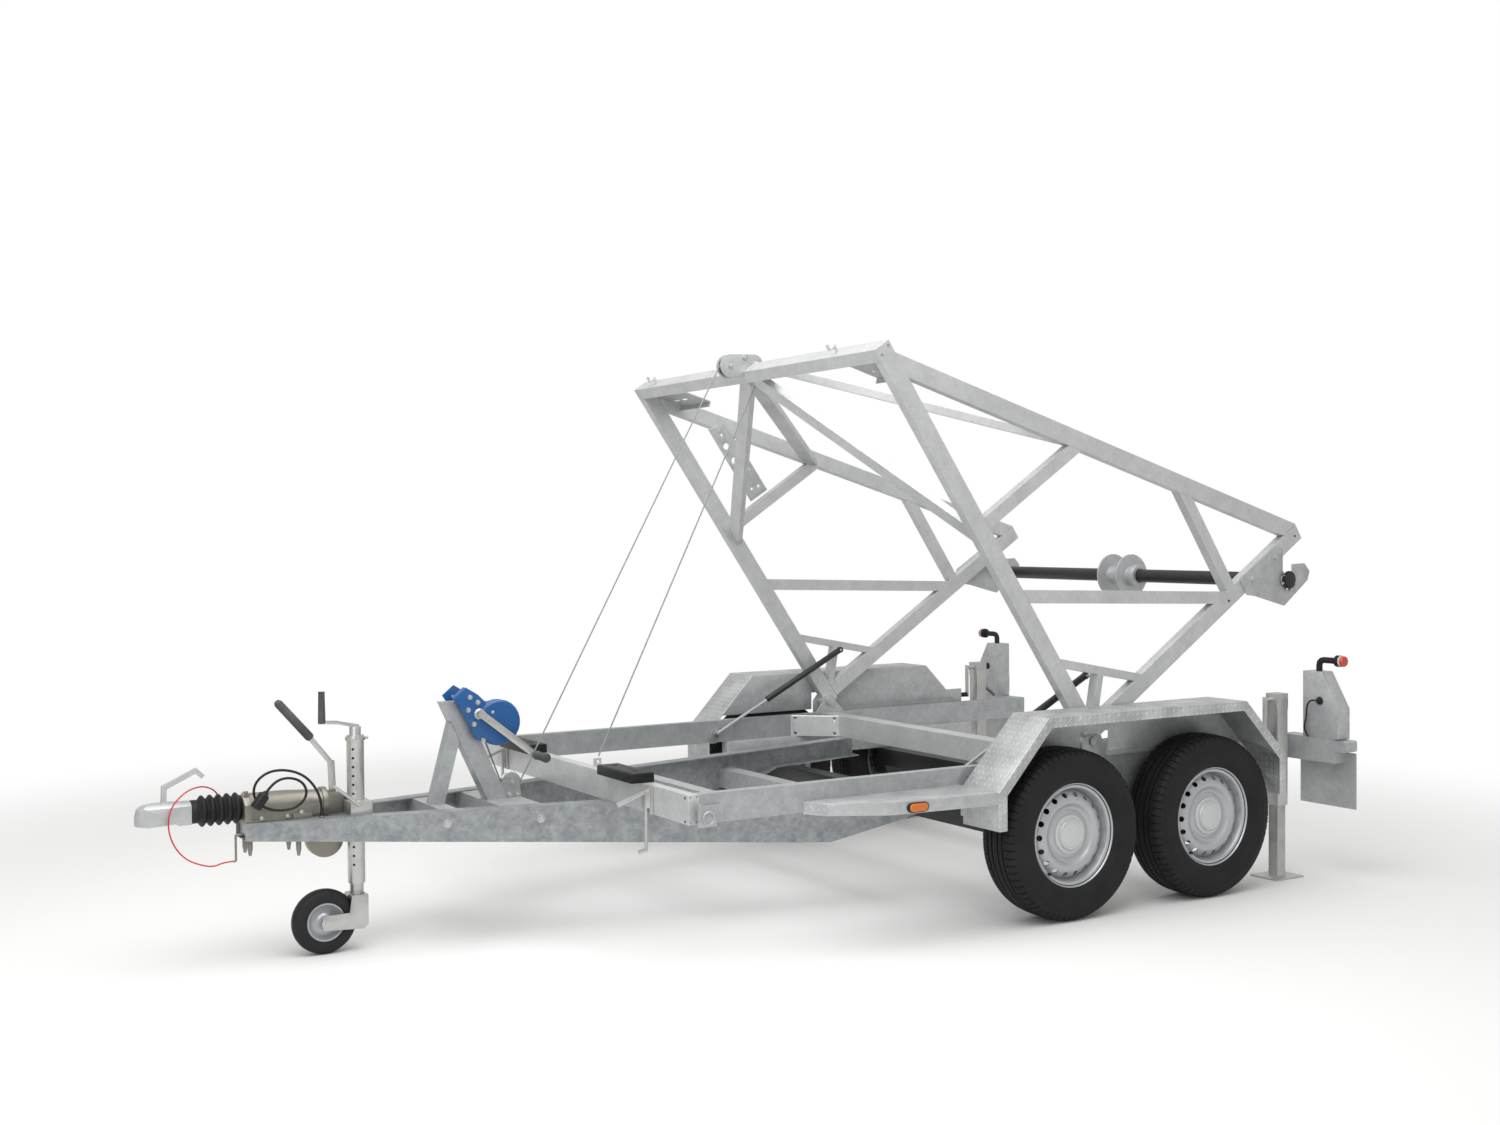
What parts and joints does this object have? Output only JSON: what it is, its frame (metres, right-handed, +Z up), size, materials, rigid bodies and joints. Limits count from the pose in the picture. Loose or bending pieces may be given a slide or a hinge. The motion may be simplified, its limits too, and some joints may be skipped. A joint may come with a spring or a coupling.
{
  "type": "cable drum trailer",
  "caption": "Tandem axle cable drum trailer: V drawbar, tilting tube frame with hooks that carry a drum spindle, hand winch, gas springs, jockey wheel and rear legs.",
  "frame": {"origin": "on the ground under the middle of the trailer's length and width", "axes": "+X to the rear, +Y to the trailer's right, +Z up; the trailer stands level on its wheels, jockey wheel and rear legs"},
  "size_m": [4.59, 2.4, 2.234],
  "materials": {
    "galvanised": "satin",
    "tread_plate": "satin",
    "wheel_silver": "gloss",
    "tyre_rubber": "matte",
    "black_rubber": "matte",
    "black_steel": "satin",
    "blue_paint": "gloss",
    "grey_paint": "satin",
    "lamp_lens": "gloss",
    "zinc_steel": "satin",
    "gas_rod_chrome": "gloss",
    "red_cable": "gloss",
    "wire_rope": "satin"
  },
  "bodies": {
    "chassis": {"drawbar_beams": "galvanised", "drawbar_cross_members": "galvanised", "side_rails": "galvanised", "front_cross_beam": "galvanised", "rubber_pads": "black_rubber", "main_cross_beam": "galvanised", "axle_carriers": "galvanised", "axles": "galvanised", "pivot_brackets": "galvanised", "winch_post": "galvanised", "winch_body": "blue_paint", "winch_crank": "zinc_steel", "lift_ropes": "wire_rope", "coupling_head": "zinc_steel", "coupling_bellows": "black_rubber", "overrun_housing": "galvanised", "handbrake_lever": "zinc_steel", "jockey_sleeve": "zinc_steel", "fenders": "tread_plate", "side_steps": "tread_plate", "rear_stub_beams": "galvanised", "lamp_boxes": "grey_paint", "lamp_arms": "black_rubber", "lamps": "lamp_lens", "leg_sleeves": "zinc_steel", "toggle_latches": "zinc_steel", "trailer_cable": "black_rubber", "breakaway_cable": "red_cable", "cable_plug": "black_rubber"},
    "tilt_frame": {"tilt_front_arms": "galvanised", "tilt_rear_arms": "galvanised", "tilt_chords": "galvanised", "tilt_braces": "galvanised", "top_beam": "galvanised", "top_stays": "galvanised", "tilt_plates": "galvanised", "hook_plates": "galvanised", "top_pulley_cheeks": "galvanised"},
    "spindle": {"spindle_tube": "black_steel", "spindle_spool": "galvanised"},
    "top_sheave": {"top_pulley_sheave": "zinc_steel"},
    "lower_sheave": {"lower_pulley": "zinc_steel"},
    "jockey_slider": {"jockey_inner_tube": "zinc_steel"},
    "jockey_swivel": {"jockey_fork": "zinc_steel"},
    "jockey_wheel": {"jockey_rim": "wheel_silver", "jockey_tyre": "black_rubber"},
    "leg_left": {"leg_left": "zinc_steel"},
    "leg_right": {"leg_right": "zinc_steel"},
    "gas_cylinder_left": {"gas_cylinder_left": "black_steel"},
    "gas_rod_left": {"gas_rod_left": "gas_rod_chrome"},
    "wheel_front_left": {"rim_front_left": "wheel_silver", "tyre_front_left": "tyre_rubber"},
    "wheel_rear_left": {"rim_rear_left": "wheel_silver", "tyre_rear_left": "tyre_rubber"},
    "gas_cylinder_right": {"gas_cylinder_right": "black_steel"},
    "gas_rod_right": {"gas_rod_right": "gas_rod_chrome"},
    "wheel_front_right": {"rim_front_right": "wheel_silver", "tyre_front_right": "tyre_rubber"},
    "wheel_rear_right": {"rim_rear_right": "wheel_silver", "tyre_rear_right": "tyre_rubber"}
  },
  "joints": [
    {"name": "tilt", "type": "hinge", "parent": "chassis", "child": "tilt_frame", "pos_m": [1.052, 0, 0.632], "axis": [0, -1, 0], "range_deg": [-26, 55.5], "deforming": ["lift_ropes"]},
    {"name": "spindle_spin", "type": "hinge", "parent": "tilt_frame", "child": "spindle", "pos_m": [2.159, 0, 1.233], "axis": [0, 1, 0], "continuous": true},
    {"name": "top_sheave_spin", "type": "hinge", "parent": "tilt_frame", "child": "top_sheave", "pos_m": [-0.01496, 0, 2.11174], "axis": [0, 1, 0], "continuous": true},
    {"name": "lower_sheave_spin", "type": "hinge", "parent": "chassis", "child": "lower_sheave", "pos_m": [-0.968, 0, 0.527], "axis": [0, 1, 0], "continuous": true},
    {"name": "jockey_slide", "type": "slide", "parent": "chassis", "child": "jockey_slider", "axis": [0, 0, 1], "range_m": [-0.1, 0.03]},
    {"name": "jockey_swivel", "type": "hinge", "parent": "jockey_slider", "child": "jockey_swivel", "pos_m": [-1.569, -0.05, 0.184], "axis": [0, 0, 1], "continuous": true},
    {"name": "jockey_wheel_spin", "type": "hinge", "parent": "jockey_swivel", "child": "jockey_wheel", "pos_m": [-1.686, -0.05, 0.112], "axis": [0, 1, 0], "continuous": true},
    {"name": "gas_cylinder_left_hinge", "type": "hinge", "parent": "tilt_frame", "child": "gas_cylinder_left", "pos_m": [1.099, -0.85, 0.878], "axis": [0, -1, 0], "range_deg": [-49, 24]},
    {"name": "gas_rod_left_slide", "type": "slide", "parent": "gas_cylinder_left", "child": "gas_rod_left", "axis": [-0.8882, 0, -0.4594], "range_m": [-0.212, 0.1]},
    {"name": "leg_left_slide", "type": "slide", "parent": "chassis", "child": "leg_left", "axis": [0, 0, 1], "range_m": [-0.05, 0.25]},
    {"name": "wheel_front_left_spin", "type": "hinge", "parent": "chassis", "child": "wheel_front_left", "pos_m": [0.804, -1.034, 0.32], "axis": [0, 1, 0], "continuous": true},
    {"name": "wheel_rear_left_spin", "type": "hinge", "parent": "chassis", "child": "wheel_rear_left", "pos_m": [1.53, -1.034, 0.32], "axis": [0, 1, 0], "continuous": true},
    {"name": "gas_cylinder_right_hinge", "type": "hinge", "parent": "tilt_frame", "child": "gas_cylinder_right", "pos_m": [1.099, 0.85, 0.878], "axis": [0, -1, 0], "range_deg": [-49, 24]},
    {"name": "gas_rod_right_slide", "type": "slide", "parent": "gas_cylinder_right", "child": "gas_rod_right", "axis": [-0.8882, 0, -0.4594], "range_m": [-0.212, 0.1]},
    {"name": "leg_right_slide", "type": "slide", "parent": "chassis", "child": "leg_right", "axis": [0, 0, 1], "range_m": [-0.05, 0.25]},
    {"name": "wheel_front_right_spin", "type": "hinge", "parent": "chassis", "child": "wheel_front_right", "pos_m": [0.804, 1.034, 0.32], "axis": [0, 1, 0], "continuous": true},
    {"name": "wheel_rear_right_spin", "type": "hinge", "parent": "chassis", "child": "wheel_rear_right", "pos_m": [1.53, 1.034, 0.32], "axis": [0, 1, 0], "continuous": true}
  ],
  "couplings": [
    {"joint": "gas_cylinder_left_hinge", "follows": "tilt", "ratio": -0.86},
    {"joint": "gas_rod_left_slide", "follows": "tilt", "m_per_rad": -0.215},
    {"joint": "gas_cylinder_right_hinge", "follows": "tilt", "ratio": -0.86},
    {"joint": "gas_rod_right_slide", "follows": "tilt", "m_per_rad": -0.215}
  ]
}
